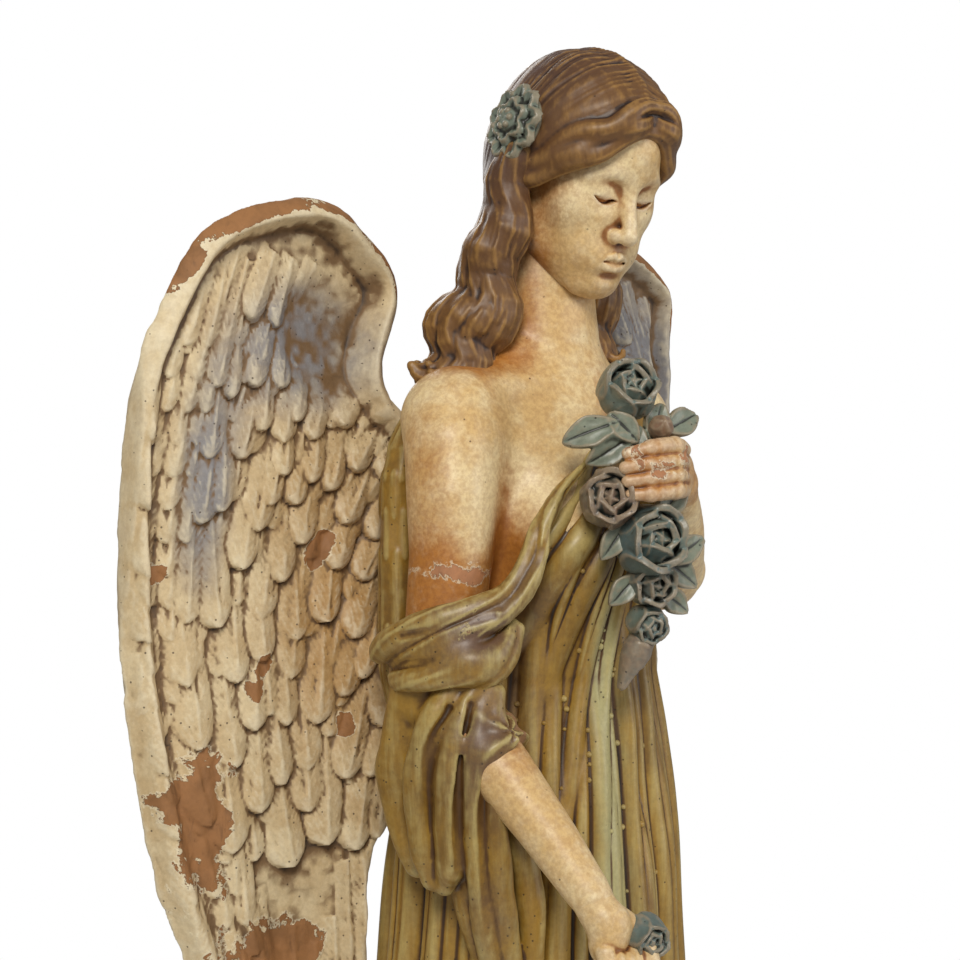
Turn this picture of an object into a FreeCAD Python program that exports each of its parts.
import FreeCAD, Part
import math
import os
from FreeCAD import Matrix, Rotation, Vector

# Standing winged figure in painted cast composition, about a metre tall.
# Millimetres. +Z is up, the figure faces -Y, and her right hand is on the -X side.
# The origin is the centre of the plinth's underside.

# ---- Driving dimensions -------------------------------------------------------
PLINTH_RX, PLINTH_RY = 150.0, 135.0      # half length and half depth of the oval plinth
PLINTH_TOP = 52.0                        # height of the plinth's deck
PLINTH_WALL = 15.0                       # wall of the hollow plinth
DECK_UNDER = 38.0                        # underside of the plinth's deck
MOUND_TOP = 66.0                         # top of the ground mound that the feet stand on
WAIST_Z = 690.0                          # joint between the skirt and the upper body
SKIRT_WALL = 12.0                        # wall of the hollow skirt casting
SOCKET_R, SOCKET_DEPTH = 30.0, 28.0      # round tenon under the bust, and its socket
GLUE_GAP = 0.15                          # room for glue around a tenon or dowel
PIPE_R, PIPE_BORE = 8.0, 6.0             # steel armature pipe
PIPE_TOP = 905.0                         # the pipe ends inside the head
DOWEL_R = 4.0                            # steel dowels of the wings and arms
PIN_R = 1.5                              # brass pins of the roses and the rosette
HEAD_CENTRE = Vector(0, -18, 936)        # middle of the head
HEAD_PITCH = 24.0                        # degrees that the face looks down
BACK_Y = 56.0                            # rear face of the back panel, where the wings bed
WING_BACK_Y = 84.0                       # rearmost plane of a wing
WING_PLATE = 21.0                        # thickness of a wing at its rim
WING_HOLLOW = 6.0                        # depth of the hollow inside the rim
WING_SWEEP = 6.0                         # degrees by which the wing's outer edge trails

# Gown: height, centre y, half width, half depth
SKIRT_SECTIONS = [
    (MOUND_TOP, 0, 116, 103), (110, 2, 108, 95), (200, 6, 99, 86), (320, 10, 90, 77),
    (440, 13, 84, 72), (545, 14, 79, 68), (620, 12, 72, 60), (WAIST_Z, 8, 65, 53),
]
# Bare upper body and neck
BUST_SECTIONS = [
    (WAIST_Z, 8, 58, 45), (725, 4, 62, 46), (755, 2, 67, 47), (785, 3, 73, 43),
    (808, 6, 76, 37), (824, 9, 62, 31), (836, 11, 38, 26), (850, 9, 25, 24), (884, 0, 22, 23),
]
BODICE_SECTIONS = [
    (WAIST_Z, 8, 65, 53), (725, 5, 68, 52), (755, 3, 73, 53), (785, 3, 79, 50), (808, 6, 83, 44),
]
# Front view of her right wing: x and z of its two long edges, which meet at the tip
WING_OUTER_EDGE = [
    (-16, 806), (-34, 818), (-56, 836), (-50, 858), (-41, 880), (-58, 908), (-94, 920), (-135, 911),
    (-169, 884), (-191, 840), (-199, 800), (-197, 755), (-191, 700), (-183, 650), (-171, 600),
    (-149, 540), (-128, 460), (-114, 400), (-104, 374),
]
WING_INNER_EDGE = [
    (-104, 374), (-98, 385), (-84, 440), (-74, 510), (-66, 565), (-56, 612), (-34, 632), (-16, 650),
]
# The hollow in the front of her right wing, inside its thick rim: its two edges meet at both ends
HOLLOW_OUTER_EDGE = [
    (-62, 715), (-65, 770), (-75, 820), (-77, 852), (-70, 876), (-81, 893), (-102, 898),
    (-129, 888), (-156, 860), (-172, 824), (-180, 788), (-178, 745), (-173, 700), (-164, 645),
    (-146, 575), (-123, 495), (-107, 415),
]
HOLLOW_INNER_EDGE = [(-107, 415), (-100, 470), (-88, 545), (-76, 620), (-66, 670), (-62, 715)]
# Roses and buds of the bouquet: name, centre, radius
ROSES = [
    ("rose_top", Vector(-20, -66, 828), 17), ("rose_left", Vector(-37, -66, 776), 17),
    ("rose_large", Vector(-13, -80, 757), 20), ("rose_low", Vector(-11, -73, 733), 13),
    ("rose_drop", Vector(-7, -67, 711), 13), ("bud_side", Vector(6, -80, 816), 13),
    ("rose_hand", Vector(-46, -100, 583), 13),
]
BUD_TIP = [(Vector(-8, -66, 702), 6, 6), (Vector(-11, -66, 690), 7, 6), (Vector(-13, -61, 672), 2.5, 2.5)]
# Leaves of the bouquet: centre, half length, half width, half thickness, turns about y and z in degrees
LEAVES = [
    (Vector(-46, -62, 806), 15, 7, 3, 20, 15), (Vector(-33, -72, 797), 13, 6, 3, -55, 10),
    (Vector(20, -70, 762), 14, 7, 3, -70, -30), (Vector(-31, -72, 748), 13, 6, 3, 75, 15),
    (Vector(9, -74, 738), 13, 6, 3, 60, -25), (Vector(-20, -72, 702), 10, 5, 3, 70, 10),
    (Vector(-33, -93, 600), 11, 6, 3, 60, 25),
]
# Limbs: centre of each station and its two half thicknesses
RIGHT_UPPER_ARM = [
    (Vector(-76, 2, 824), 12, 14), (Vector(-80, -3, 814), 20, 22), (Vector(-83, -7, 785), 22, 23),
    (Vector(-84, -8, 750), 20, 21), (Vector(-86, -5, 715), 18, 18), (Vector(-88, 2, 692), 17, 17),
]
RIGHT_FOREARM = [
    (Vector(-88, 0, 688), 15, 16), (Vector(-85, -12, 677), 17, 18), (Vector(-80, -36, 655), 16, 17),
    (Vector(-73, -62, 628), 13, 14), (Vector(-66, -85, 604), 10, 12),
]
LEFT_UPPER_ARM = [
    (Vector(76, 2, 824), 12, 14), (Vector(82, -1, 814), 20, 22), (Vector(90, 2, 785), 22, 23),
    (Vector(98, 6, 755), 20, 21), (Vector(105, 8, 734), 18, 19),
]
LEFT_FOREARM = [
    (Vector(108, 4, 726), 17, 16), (Vector(98, -14, 731), 18, 17), (Vector(74, -42, 748), 16, 15),
    (Vector(46, -66, 769), 13, 12), (Vector(28, -80, 781), 11, 10),
]
# Tenon, dowel and pin lines, each from one end to the other
SHOULDER_DOWELS = [
    (Vector(-46, 4, 792), Vector(-88, -6, 792)), (Vector(46, 4, 792), Vector(92, 2, 792)),
]
ELBOW_DOWELS = [
    (Vector(-86, -4, 706), Vector(-83, -24, 667)), (Vector(101, 7, 745), Vector(92, -21, 735)),
]


# ---- Shape helpers ------------------------------------------------------------
def closed_spline(points):
    """A closed smooth wire through the points."""
    curve = Part.BSplineCurve()
    curve.interpolate(Points=points, PeriodicFlag=True)
    return Part.Wire(curve.toShape())


def open_spline(points):
    """A smooth edge from the first point to the last."""
    curve = Part.BSplineCurve()
    curve.interpolate(Points=points)
    return curve.toShape()


def oval(z, centre_y, rx, ry, centre_x=0.0, count=24):
    """A level oval as a closed spline wire."""
    turns = [2 * math.pi * i / count for i in range(count)]
    return closed_spline(
        [Vector(centre_x + rx * math.cos(t), centre_y + ry * math.sin(t), z) for t in turns]
    )


def loft(wires):
    return Part.makeLoft(wires, True, False)


def shell_inside(sections, wall):
    """The same sections, a wall's thickness further in."""
    return [(z, cy, rx - wall, ry - wall) for z, cy, rx, ry in sections]


def tube(stations, reference=Vector(0, 1, 0), count=16):
    """A limb lofted through oval sections, each square to the line of its neighbours."""
    wires = []
    for i, (centre, side, depth) in enumerate(stations):
        before = stations[max(i - 1, 0)][0]
        after = stations[min(i + 1, len(stations) - 1)][0]
        along = (after - before).normalize()
        across = along.cross(reference).normalize()
        upright = along.cross(across).normalize()
        turns = [2 * math.pi * k / count for k in range(count)]
        wires.append(closed_spline(
            [centre + across * (side * math.cos(t)) + upright * (depth * math.sin(t)) for t in turns]
        ))
    return loft(wires)


def ellipsoid(centre, rx, ry, rz, rotation=None):
    """A ball stretched to three half sizes, then turned and moved."""
    stretch = Matrix()
    stretch.scale(rx, ry, rz)
    shape = Part.makeSphere(1.0).transformGeometry(stretch)
    if rotation:
        shape = shape.transformGeometry(rotation.toMatrix())
    shape.translate(centre)
    return shape


def rod(start, end, radius):
    return Part.makeCylinder(radius, (end - start).Length, start, end - start)


def one_solid(shape):
    """The largest solid of a boolean's result."""
    return max(shape.Solids, key=lambda s: s.Volume)


def fused(*shapes):
    joined = shapes[0]
    for shape in shapes[1:]:
        joined = joined.fuse(shape)
    return joined


def without(shape, *tools):
    """The shape with room cut for each of the others, kept as one piece."""
    for tool in tools:
        shape = one_solid(shape.cut(tool))
    return shape


def mirrored(shape):
    return shape.mirror(Vector(0, 0, 0), Vector(1, 0, 0))


def tilt_head(point):
    """A point given in the upright head's own axes, carried to the head as it bows."""
    return HEAD_CENTRE + Rotation(Vector(1, 0, 0), HEAD_PITCH).multVec(point)


# ---- Plinth and ground --------------------------------------------------------
def make_base_plinth():
    """Oval plinth with a stepped and coved side, hollow from below."""
    foot = Part.Face(oval(0, 0, PLINTH_RX, PLINTH_RY)).extrude(Vector(0, 0, 20))
    cove = loft([
        oval(z, 0, PLINTH_RX - inset, PLINTH_RY - inset) for z, inset in ((20, 5), (30, 13), (42, 15))
    ])
    lip = Part.Face(oval(42, 0, PLINTH_RX - 9, PLINTH_RY - 9)).extrude(Vector(0, 0, PLINTH_TOP - 42))
    hollow = Part.Face(
        oval(0, 0, PLINTH_RX - PLINTH_WALL, PLINTH_RY - PLINTH_WALL)
    ).extrude(Vector(0, 0, 18))
    upper_hollow = Part.Face(
        oval(18, 0, PLINTH_RX - 30, PLINTH_RY - 30)
    ).extrude(Vector(0, 0, DECK_UNDER - 18))
    bore = rod(Vector(0, 0, 30), Vector(0, 0, 60), PIPE_R + GLUE_GAP)
    return without(fused(foot, cove, lip), hollow, upper_hollow, bore)


def make_base_mound():
    """Low uneven ground between the plinth and the hem."""
    mound = loft([oval(PLINTH_TOP, 0, 134, 119), oval(58, 0, 130, 116), oval(MOUND_TOP, 0, 121, 108)])
    return without(mound, rod(Vector(0, 0, 50), Vector(0, 0, 70), PIPE_R + GLUE_GAP))


# ---- Gown ---------------------------------------------------------------------
def make_skirt():
    """Hollow skirt, open below, with a deck at the waist that takes the bust's tenon."""
    outer = loft([oval(*s) for s in SKIRT_SECTIONS])
    inner = loft([oval(*s) for s in shell_inside(SKIRT_SECTIONS[:-1], SKIRT_WALL)])
    socket = rod(Vector(0, 8, WAIST_Z - SOCKET_DEPTH), Vector(0, 8, WAIST_Z + 1), SOCKET_R + GLUE_GAP)
    bore = rod(Vector(0, 0, 600), Vector(0, 0, WAIST_Z), PIPE_R + GLUE_GAP)
    return without(outer, inner, socket, bore)


def make_bust():
    """Bare chest, shoulders and neck in one casting, with a round tenon below."""
    body = loft([oval(*s) for s in BUST_SECTIONS])
    breasts = [ellipsoid(Vector(x, -30, 758), 27, 25, 27) for x in (-32, 32)]
    tenon = rod(Vector(0, 8, WAIST_Z - SOCKET_DEPTH + 1), Vector(0, 8, WAIST_Z + 2), SOCKET_R)
    bore = rod(Vector(0, 0, 650), Vector(0, 0, 900), PIPE_R + GLUE_GAP)
    return without(fused(body, *breasts, tenon), bore)


def make_bodice(bust):
    """The gown round the chest, cut off along the slanting neckline."""
    outer = fused(loft([oval(*s) for s in BODICE_SECTIONS]),
                  *[ellipsoid(Vector(x, -31, 756), 31, 29, 29) for x in (-32, 32)])
    slant = Rotation(Vector(0, 1, 0), -38)
    cutter = Part.makeBox(300, 300, 200, Vector(-150, -150, 0))
    cutter.Placement = FreeCAD.Placement(Vector(-42, 0, 772), slant).multiply(cutter.Placement)
    level = Part.makeBox(300, 300, 60, Vector(-150, -150, 790))
    flank = Part.makeBox(300, 300, 60, Vector(-150, -150, WAIST_Z - 60))
    return without(outer, cutter, level, flank, bust)


def make_back_panel(bust, bodice):
    """The gown's back between the shoulders, with flat beds for the two wings."""
    panel = loft([
        closed_spline([Vector(0, 38, z), Vector(w, 34, z), Vector(w + 4, 46, z), Vector(w, BACK_Y - 1, z),
                       Vector(0, BACK_Y, z), Vector(-w, BACK_Y - 1, z), Vector(-w - 4, 46, z),
                       Vector(-w, 34, z)])
        for z, w in ((WAIST_Z + 0.5, 44), (740, 50), (780, 54), (812, 50))
    ])
    behind = Part.makeBox(200, 60, 200, Vector(-100, BACK_Y - 0.4, 650))
    return without(panel, behind, bust, bodice)


def make_elbow_wrap(*tools):
    """Twisted band of cloth that crosses the front of the gown and wraps her right elbow."""
    path = [
        (Vector(-46, -60, 738), 8, 8), (Vector(-74, -44, 722), 10, 14), (Vector(-104, -24, 710), 11, 20),
        (Vector(-112, 6, 706), 11, 21), (Vector(-92, 32, 712), 10, 18), (Vector(-62, 50, 728), 8, 12),
    ]
    return without(tube(path, Vector(0, 0, 1)), *tools)


def make_sleeve_drape(*tools):
    """Loose fold of cloth that hangs from her right elbow beside the skirt."""
    hang = [(694, -4, -84, 28, 31), (664, -2, -84, 29, 37), (620, -6, -82, 27, 36),
            (575, -12, -78, 20, 30), (535, -16, -74, 12, 20), (505, -18, -72, 5, 10)]
    return without(loft([oval(z, cy, rx, ry, cx) for z, cy, cx, rx, ry in hang]), *tools)


# ---- Head and hair ------------------------------------------------------------
def make_head():
    """Skull, face and chin, bowed forward, with a bore for the armature pipe."""
    bow = Rotation(Vector(1, 0, 0), HEAD_PITCH)
    skull = ellipsoid(tilt_head(Vector(0, 8, 14)), 37, 46, 42, bow)
    face = ellipsoid(tilt_head(Vector(0, -12, -10)), 31, 30, 50, bow)
    nose = Part.makeCone(6.5, 2.5, 26, tilt_head(Vector(0, -38, 12)),
                         Rotation(Vector(1, 0, 0), HEAD_PITCH).multVec(Vector(0, -0.22, -1)))
    bore = rod(Vector(0, 0, 860), Vector(0, 0, PIPE_TOP + 1), PIPE_R + GLUE_GAP)
    neck = loft([oval(*s) for s in BUST_SECTIONS])
    return without(fused(skull, face, nose), neck, bore)


def make_hair_cap(*tools):
    """Parted hair over the skull, open round the face."""
    bow = Rotation(Vector(1, 0, 0), HEAD_PITCH)
    cap = ellipsoid(tilt_head(Vector(0, 12, 15)), 46, 53, 49, bow)
    window = ellipsoid(tilt_head(Vector(0, -52, -14)), 30, 38, 50, bow)
    return without(cap, window, *tools)


def make_hair_back(*tools):
    """Hair that falls down the nape to the shoulder blades."""
    fall = loft([oval(z, cy, rx, ry) for z, cy, rx, ry in
                 ((812, 44, 34, 11), (838, 42, 42, 14), (868, 36, 44, 18), (900, 32, 42, 20))])
    return without(fall, *tools)


def make_hair_curl(*tools):
    """Wavy mass of curls down her right side, from the temple to the shoulder."""
    path = [
        (Vector(-38, -10, 934), 9, 12), (Vector(-44, -4, 912), 12, 17), (Vector(-48, 4, 890), 14, 20),
        (Vector(-53, 13, 868), 16, 22), (Vector(-60, 23, 846), 17, 22), (Vector(-67, 31, 826), 12, 15),
    ]
    return without(tube(path), *tools)


def make_hair_rosette(*tools):
    """Flower at the right temple: a domed eye inside a ring of petals."""
    centre, facing = Vector(-46, -17, 956), Vector(-1, -0.12, 0.22)
    disc = Part.makeTorus(12.5, 6.5, centre, facing)
    eye = Part.makeSphere(9, centre)
    return without(fused(disc, eye), *tools)


# ---- Arms, hands and feet -----------------------------------------------------
def make_hand(palm, fingers):
    """A palm with its fingers as tapered tubes, in one casting."""
    hand = tube(palm)
    for finger in fingers:
        hand = fused(hand, tube(finger, Vector(0.3, 0.9, 0.2), 12))
    return one_solid(hand)


def make_right_hand(*tools):
    palm = [
        (Vector(-65.5, -86.5, 602), 8, 11), (Vector(-62, -95, 590), 9, 14), (Vector(-58, -101, 575), 7, 13),
    ]
    fingers = [
        [(Vector(-66 + 5.5 * i, -97 - 2.5 * i, 577), 4.2, 4.2),
         (Vector(-64 + 5.5 * i, -102 - 2.5 * i, 562), 3.9, 3.9),
         (Vector(-62 + 5.5 * i, -100 - 2.5 * i, 549 + 2 * i), 3.1, 3.1)]
        for i in range(4)
    ]
    return without(make_hand(palm, fingers), *tools)


def make_left_hand(*tools):
    palm = [(Vector(27, -81, 782), 9, 11), (Vector(14, -86, 788), 8, 14), (Vector(2, -88, 792), 7, 14)]
    fingers = [
        [(Vector(5, -90, 802 - 7.5 * i), 4.1, 4.1), (Vector(-9, -93, 804 - 7.5 * i), 4.0, 4.0),
         (Vector(-21, -87, 802 - 7.5 * i), 3.2, 3.2)]
        for i in range(4)
    ]
    return without(make_hand(palm, fingers), *tools)


def make_foot(*tools):
    """The front of her right foot, showing past the hem."""
    foot = tube([(Vector(-30, -84, 78), 13, 12), (Vector(-33, -100, 76), 13, 10),
                 (Vector(-35, -114, 72), 12, 6.2)], Vector(0, 0, 1))
    level = Part.makeBox(200, 200, 20, Vector(-100, -200, MOUND_TOP - 20))
    return without(foot, level, *tools)


# ---- Wings --------------------------------------------------------------------
def lens_face(edge_a, edge_b, level_y, closing=()):
    """A flat face at one depth between two long edges, given as x and z."""
    splines = [open_spline([Vector(x, level_y, z) for x, z in edge]) for edge in (edge_a, edge_b)]
    return Part.Face(Part.Wire(splines + list(closing)))


def make_right_wing():
    """Her right wing: a thick plate with a shallow hollow in front, and a tongue that beds on the back."""
    front_y = WING_BACK_Y - WING_PLATE
    (end_x, end_z), (start_x, start_z) = WING_INNER_EDGE[-1], WING_OUTER_EDGE[0]
    root = Part.makeLine(Vector(end_x, front_y, end_z), Vector(start_x, front_y, start_z))
    outline = lens_face(WING_OUTER_EDGE, WING_INNER_EDGE, front_y, [root])
    plate = outline.extrude(Vector(0, WING_PLATE, 0))
    hollow = lens_face(HOLLOW_OUTER_EDGE, HOLLOW_INNER_EDGE, front_y - 1).extrude(
        Vector(0, WING_HOLLOW + 1, 0)
    )
    for swept in (plate, hollow):
        swept.rotate(Vector(-46, front_y, 0), Vector(0, 0, 1), -WING_SWEEP)
    tongue = Part.makeBox(30, front_y - BACK_Y + 2, 140, Vector(-46, BACK_Y, 660))
    return without(plate.fuse(tongue), hollow)


# ---- Flowers ------------------------------------------------------------------
def make_rose(centre, radius, *tools):
    """Open rose: a ball of inner petals in two rings of outer petals."""
    facing = Vector(-0.35, -1, 0.15)
    ball = Part.makeSphere(radius * 0.68, centre)
    ring = Part.makeTorus(radius * 0.66, radius * 0.34, centre + facing * (-0.1 * radius), facing)
    return without(fused(ball, ring), *tools)


def make_leaf(length, width, thick):
    """A pointed flat leaf between two arcs, centred on the origin and square to y."""
    tip, stem = Vector(length, -thick, 0), Vector(-length, -thick, 0)
    upper = Part.Arc(stem, Vector(0, -thick, width), tip).toShape()
    lower = Part.Arc(tip, Vector(0, -thick, -width), stem).toShape()
    return Part.Face(Part.Wire([upper, lower])).extrude(Vector(0, 2 * thick, 0))


def make_leaves(*tools):
    """The leaves between the roses, each a separate thin casting."""
    kept = []
    for centre, length, width, thick, about_y, about_z in LEAVES:
        turn = Rotation(Vector(0, 0, 1), about_z).multiply(Rotation(Vector(0, 1, 0), about_y))
        leaf = make_leaf(length, width, thick)
        leaf.Placement = FreeCAD.Placement(centre, turn)
        kept.append(without(leaf, *tools, *kept))
    return Part.makeCompound(kept)


# ---- Hidden steel -------------------------------------------------------------
def make_armature_pipe():
    """Pipe from just under the plinth's deck up into the head."""
    outer = rod(Vector(0, 0, DECK_UNDER - 8), Vector(0, 0, PIPE_TOP), PIPE_R)
    return outer.cut(rod(Vector(0, 0, 0), Vector(0, 0, PIPE_TOP + 5), PIPE_BORE))


def collar(radius, height, base_z, sides=None):
    """A round or six-sided collar that fits on the pipe."""
    if sides:
        turns = [math.tau * i / sides for i in range(sides + 1)]
        ring = [Vector(radius * math.cos(t), radius * math.sin(t), base_z) for t in turns]
        blank = Part.Face(Part.makePolygon(ring)).extrude(Vector(0, 0, height))
    else:
        blank = Part.makeCylinder(radius, height, Vector(0, 0, base_z))
    return blank.cut(rod(Vector(0, 0, base_z - 1), Vector(0, 0, base_z + height + 1), PIPE_R + 0.05))


def dowels(lines, radius=DOWEL_R):
    return Part.makeCompound([rod(a, b, radius) for a, b in lines])


def wing_dowel_lines(side):
    return [(Vector(side * 34, 30, z), Vector(side * 34, 74, z)) for z in (704, 772)]


# ---- Assembly -----------------------------------------------------------------
def build():
    """Makes every piece. A piece is cut to fit those made before it."""
    parts = {}
    holes = [rod(a, b, DOWEL_R + GLUE_GAP) for side in (-1, 1) for a, b in wing_dowel_lines(side)]
    holes += [rod(a, b, DOWEL_R + GLUE_GAP) for a, b in SHOULDER_DOWELS + ELBOW_DOWELS]

    parts["base_plinth"] = make_base_plinth()
    parts["base_mound"] = make_base_mound()
    parts["skirt"] = make_skirt()
    bust_solid = make_bust()
    bodice_solid = make_bodice(bust_solid)
    back_solid = make_back_panel(bust_solid, bodice_solid)
    body = [parts["skirt"], bust_solid, bodice_solid, back_solid]

    wing = make_right_wing()
    parts["right_wing"] = without(wing, *holes[:2])
    parts["left_wing"] = without(mirrored(wing), *holes[2:4])
    parts["bust"] = without(bust_solid, *holes)
    parts["gown_bodice"] = without(bodice_solid, *holes)
    parts["back_panel"] = without(back_solid, *holes[:4])

    right_arm = without(tube(RIGHT_UPPER_ARM), *body)
    left_arm = without(tube(LEFT_UPPER_ARM), *body)
    right_forearm = without(tube(RIGHT_FOREARM), right_arm, *body)
    left_forearm = without(tube(LEFT_FOREARM), left_arm, *body)
    arms = [right_arm, left_arm, right_forearm, left_forearm]
    for name, arm in zip(
        ("right_upper_arm", "left_upper_arm", "right_forearm", "left_forearm"), arms
    ):
        parts[name] = without(arm, *holes[4:])
    parts["right_hand"] = make_right_hand(right_forearm, parts["skirt"])
    parts["left_hand"] = make_left_hand(left_forearm, *body)
    hands = [parts["right_hand"], parts["left_hand"]]

    parts["elbow_wrap"] = make_elbow_wrap(*body, right_arm, right_forearm, wing)
    parts["sleeve_drape"] = make_sleeve_drape(
        *body, right_arm, right_forearm, parts["elbow_wrap"], wing
    )

    parts["head"] = make_head()
    parts["hair_cap"] = make_hair_cap(parts["head"], bust_solid)
    parts["hair_back"] = make_hair_back(parts["head"], parts["hair_cap"], bust_solid, back_solid, wing,
                                        mirrored(wing))
    neighbours = [parts["head"], parts["hair_cap"], parts["hair_back"], bust_solid, back_solid]
    parts["hair_curl_right"] = make_hair_curl(*neighbours, right_arm, wing)
    parts["hair_curl_left"] = without(
        mirrored(make_hair_curl()), *neighbours, left_arm, mirrored(wing)
    )
    rosette = make_hair_rosette(parts["head"], parts["hair_cap"], parts["hair_curl_right"])
    rosette_line = (Vector(-51, -17, 957), Vector(-35, -16, 955))
    parts["hair_rosette"] = without(rosette, rod(*rosette_line, PIN_R + 0.05))
    parts["hair_cap"] = without(parts["hair_cap"], rod(*rosette_line, PIN_R + 0.05))
    parts["head"] = without(parts["head"], rod(*rosette_line, PIN_R + 0.05))

    flowers = []
    for name, centre, radius in ROSES:
        rose = make_rose(centre, radius, *body[:3], *hands, *flowers)
        flowers.append(rose)
        parts[name] = rose
    parts["bud_tip"] = without(tube(BUD_TIP), *body[:3], *flowers)
    flowers.append(parts["bud_tip"])
    parts["bouquet_leaves"] = make_leaves(*body[:3], *hands, left_forearm, right_forearm, *flowers)

    foot = make_foot(parts["skirt"], parts["base_mound"])
    parts["right_foot"] = foot
    parts["left_foot"] = mirrored(foot)

    parts["armature_pipe"] = make_armature_pipe()
    parts["armature_flange"] = collar(30, 4, DECK_UNDER - 4)
    parts["clamp_washer"] = collar(18, 2.5, MOUND_TOP)
    parts["clamp_nut"] = collar(14, 10, MOUND_TOP + 2.5, sides=6)
    parts["wing_dowels_right"] = dowels(wing_dowel_lines(-1))
    parts["wing_dowels_left"] = dowels(wing_dowel_lines(1))
    parts["shoulder_dowels"] = dowels(SHOULDER_DOWELS)
    parts["elbow_dowels"] = dowels(ELBOW_DOWELS)
    parts["rosette_pin"] = dowels([rosette_line], PIN_R)
    return parts


def main():
    os.makedirs("parts", exist_ok=True)
    for old in os.listdir("parts"):
        os.remove(os.path.join("parts", old))
    for name, shape in build().items():
        if not shape.isValid():
            print("not valid:", name)
        shape.exportStep(f"parts/{name}.step")
        print(f"{name:20s} {len(shape.Solids)} solid(s) {shape.Volume / 1000:9.1f} cm3")


main()
